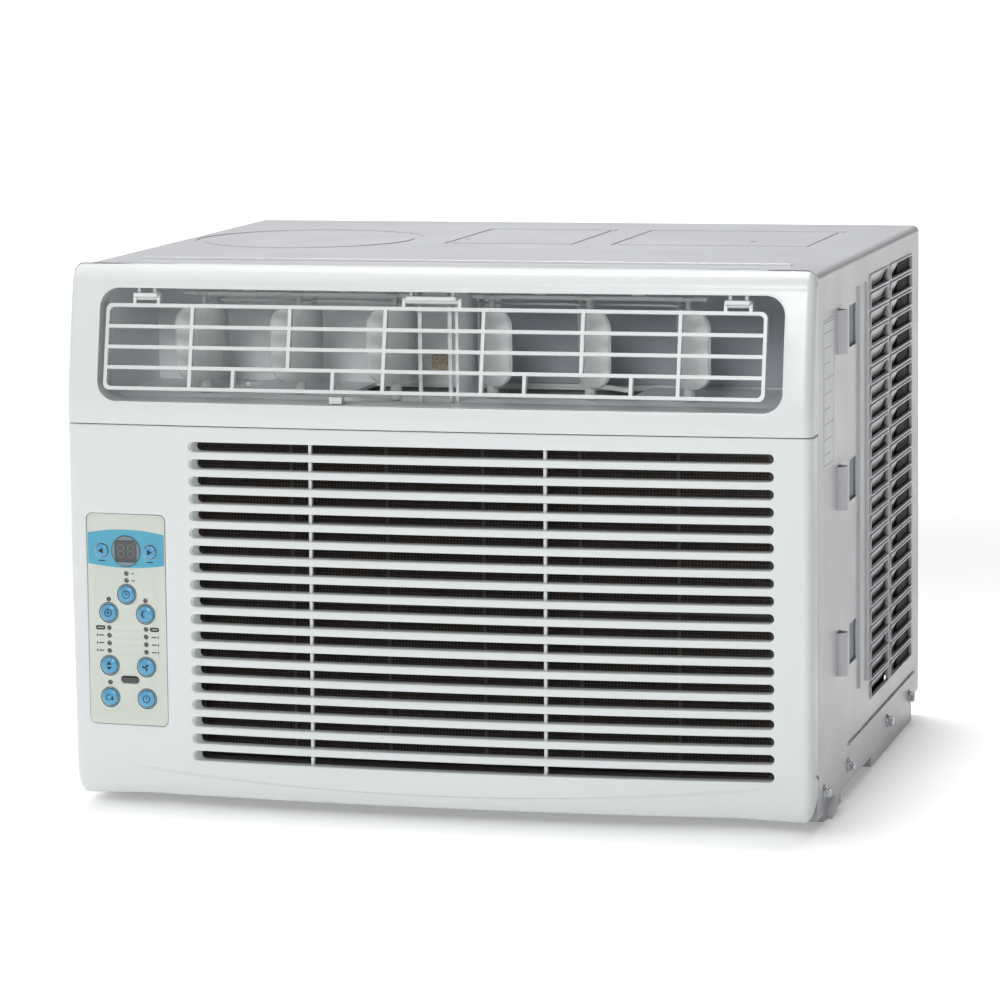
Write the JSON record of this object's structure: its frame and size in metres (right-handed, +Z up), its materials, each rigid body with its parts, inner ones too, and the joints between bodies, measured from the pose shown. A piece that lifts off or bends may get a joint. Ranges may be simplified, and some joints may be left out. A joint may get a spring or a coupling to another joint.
{
  "type": "window air conditioner",
  "caption": "Window air conditioner: louvred outlet over a hinged intake grille with a button panel, steel cabinet with side vents, fan, compressor and two coils inside.",
  "frame": {"origin": "middle of the footprint, on the surface the unit stands on", "axes": "+X to the right seen from the room, -Y towards the room, +Z up"},
  "size_m": [0.4808, 0.406, 0.34],
  "materials": {
    "bare_metal": "ground",
    "black_metal": "enamel",
    "black_plastic": "moulded",
    "board": "lacquered",
    "coil_fins": "mill finish",
    "dark_fins": "coated",
    "duct_plastic": "fine moulded",
    "filter_weave": "fine net",
    "foam_white": "foam",
    "front_plastic": "satin moulded",
    "key_blue": "moulded",
    "key_grey": "moulded",
    "lamp_lens": "polished",
    "lens_dark": "polished",
    "panel_plastic": "film overlay",
    "rubber_black": "moulded",
    "sheet_paint": "powder coat",
    "tube_metal": "drawn tube",
    "zinc_sheet": "galvanised"
  },
  "bodies": {
    "chassis": {"front_bezel": "front_plastic", "grille_hinge_pins": "bare_metal", "louvre_clips": "front_plastic", "centre_stay": "front_plastic", "duct_divider": "duct_plastic", "air_duct": "duct_plastic", "vane_rail_left": "front_plastic", "vane_rail_right": "front_plastic", "control_plate": "panel_plastic", "display_lens": "lens_dark", "receiver_window": "lens_dark", "indicator_lamps": "lamp_lens", "control_board": "board", "control_box": "zinc_sheet", "capacitor": "coil_fins", "base_pan": "sheet_paint", "cabinet": "sheet_paint", "cabinet_screws": "bare_metal", "rear_guard": "sheet_paint", "evaporator_fins": "coil_fins", "evaporator_bends": "tube_metal", "blower_housing": "foam_white", "bulkhead": "zinc_sheet", "fan_motor": "black_metal", "motor_bracket": "zinc_sheet", "fan_shroud": "zinc_sheet", "condenser_fins": "dark_fins", "condenser_bends": "tube_metal", "compressor": "black_metal", "compressor_grommets": "rubber_black", "terminal_cover": "black_plastic", "refrigerant_pipes": "tube_metal", "drier": "tube_metal", "cord_gland": "rubber_black"},
    "grille": {"intake_grille": "front_plastic", "filter_frame": "duct_plastic", "filter_mesh": "filter_weave"},
    "louvre": {"louvre_frame": "front_plastic"},
    "rotor": {"fan_shaft": "bare_metal", "blower_wheel": "duct_plastic", "condenser_fan": "black_plastic"},
    "vent_lever": {"vent_lever": "front_plastic"},
    "vent_door": {"vent_door": "zinc_sheet"},
    "link_left": {"link_left": "front_plastic"},
    "link_right": {"link_right": "front_plastic"},
    "vane_left_1": {"vane_left_1": "front_plastic"},
    "vane_right_1": {"vane_right_1": "front_plastic"},
    "vane_left_2": {"vane_left_2": "front_plastic"},
    "vane_right_2": {"vane_right_2": "front_plastic"},
    "vane_left_3": {"vane_left_3": "front_plastic"},
    "vane_right_3": {"vane_right_3": "front_plastic"},
    "button_down": {"button_down": "key_grey"},
    "button_up": {"button_up": "key_grey"},
    "button_timer": {"button_timer": "key_blue"},
    "button_energy": {"button_energy": "key_blue"},
    "button_sleep": {"button_sleep": "key_blue"},
    "button_mode": {"button_mode": "key_blue"},
    "button_fan": {"button_fan": "key_blue"},
    "button_check": {"button_check": "key_blue"},
    "button_power": {"button_power": "key_blue"}
  },
  "joints": [
    {"name": "grille_tilt", "type": "hinge", "parent": "chassis", "child": "grille", "pos_m": [0, -0.177, 0.0165], "axis": [1, 0, 0], "range_deg": [0, 30]},
    {"name": "louvre_tilt", "type": "hinge", "parent": "chassis", "child": "louvre", "pos_m": [0, -0.173, 0.319], "axis": [1, 0, 0], "range_deg": [-12, 12]},
    {"name": "vane_left_2_turn", "type": "hinge", "parent": "chassis", "child": "vane_left_2", "pos_m": [-0.098, -0.139, 0.29], "axis": [0, 0, 1], "range_deg": [-10, 70]},
    {"name": "vane_left_1_turn", "type": "hinge", "parent": "chassis", "child": "vane_left_1", "pos_m": [-0.16, -0.139, 0.29], "axis": [0, 0, 1], "range_deg": [-10, 70]},
    {"name": "vane_left_3_turn", "type": "hinge", "parent": "chassis", "child": "vane_left_3", "pos_m": [-0.036, -0.139, 0.29], "axis": [0, 0, 1], "range_deg": [-10, 70]},
    {"name": "link_left_turn", "type": "hinge", "parent": "vane_left_2", "child": "link_left", "pos_m": [-0.091, -0.12688, 0.317], "axis": [0, 0, 1], "range_deg": [-70, 10]},
    {"name": "vane_right_2_turn", "type": "hinge", "parent": "chassis", "child": "vane_right_2", "pos_m": [0.088, -0.139, 0.29], "axis": [0, 0, 1], "range_deg": [-80, 0]},
    {"name": "vane_right_1_turn", "type": "hinge", "parent": "chassis", "child": "vane_right_1", "pos_m": [0.026, -0.139, 0.29], "axis": [0, 0, 1], "range_deg": [-80, 0]},
    {"name": "vane_right_3_turn", "type": "hinge", "parent": "chassis", "child": "vane_right_3", "pos_m": [0.15, -0.139, 0.29], "axis": [0, 0, 1], "range_deg": [-80, 0]},
    {"name": "link_right_turn", "type": "hinge", "parent": "vane_right_2", "child": "link_right", "pos_m": [0.079, -0.12828, 0.317], "axis": [0, 0, 1], "range_deg": [0, 80]},
    {"name": "vent_lever_turn", "type": "hinge", "parent": "chassis", "child": "vent_lever", "pos_m": [-0.03, -0.161, 0.258], "axis": [0, 0, 1], "range_deg": [-25, 0]},
    {"name": "vent_door_turn", "type": "hinge", "parent": "chassis", "child": "vent_door", "pos_m": [0, -0.057, 0.1525], "axis": [1, 0, 0], "range_deg": [0, 30]},
    {"name": "fan_spin", "type": "hinge", "parent": "chassis", "child": "rotor", "pos_m": [0, 0, 0.15], "axis": [0, 1, 0], "continuous": true},
    {"name": "button_down_press", "type": "slide", "parent": "chassis", "child": "button_down", "axis": [0, 1, 0], "range_m": [0, 0.001], "stiffness_N_per_m": 400},
    {"name": "button_up_press", "type": "slide", "parent": "chassis", "child": "button_up", "axis": [0, 1, 0], "range_m": [0, 0.001], "stiffness_N_per_m": 400},
    {"name": "button_timer_press", "type": "slide", "parent": "chassis", "child": "button_timer", "axis": [0, 1, 0], "range_m": [0, 0.001], "stiffness_N_per_m": 400},
    {"name": "button_energy_press", "type": "slide", "parent": "chassis", "child": "button_energy", "axis": [0, 1, 0], "range_m": [0, 0.001], "stiffness_N_per_m": 400},
    {"name": "button_sleep_press", "type": "slide", "parent": "chassis", "child": "button_sleep", "axis": [0, 1, 0], "range_m": [0, 0.001], "stiffness_N_per_m": 400},
    {"name": "button_mode_press", "type": "slide", "parent": "chassis", "child": "button_mode", "axis": [0, 1, 0], "range_m": [0, 0.001], "stiffness_N_per_m": 400},
    {"name": "button_fan_press", "type": "slide", "parent": "chassis", "child": "button_fan", "axis": [0, 1, 0], "range_m": [0, 0.001], "stiffness_N_per_m": 400},
    {"name": "button_check_press", "type": "slide", "parent": "chassis", "child": "button_check", "axis": [0, 1, 0], "range_m": [0, 0.001], "stiffness_N_per_m": 400},
    {"name": "button_power_press", "type": "slide", "parent": "chassis", "child": "button_power", "axis": [0, 1, 0], "range_m": [0, 0.001], "stiffness_N_per_m": 400}
  ],
  "couplings": [
    {"joint": "vane_left_1_turn", "follows": "vane_left_2_turn", "ratio": 1},
    {"joint": "vane_left_3_turn", "follows": "vane_left_2_turn", "ratio": 1},
    {"joint": "link_left_turn", "follows": "vane_left_2_turn", "ratio": -1},
    {"joint": "vane_right_1_turn", "follows": "vane_right_2_turn", "ratio": 1},
    {"joint": "vane_right_3_turn", "follows": "vane_right_2_turn", "ratio": 1},
    {"joint": "link_right_turn", "follows": "vane_right_2_turn", "ratio": -1},
    {"joint": "vent_door_turn", "follows": "vent_lever_turn", "ratio": -1.2}
  ]
}
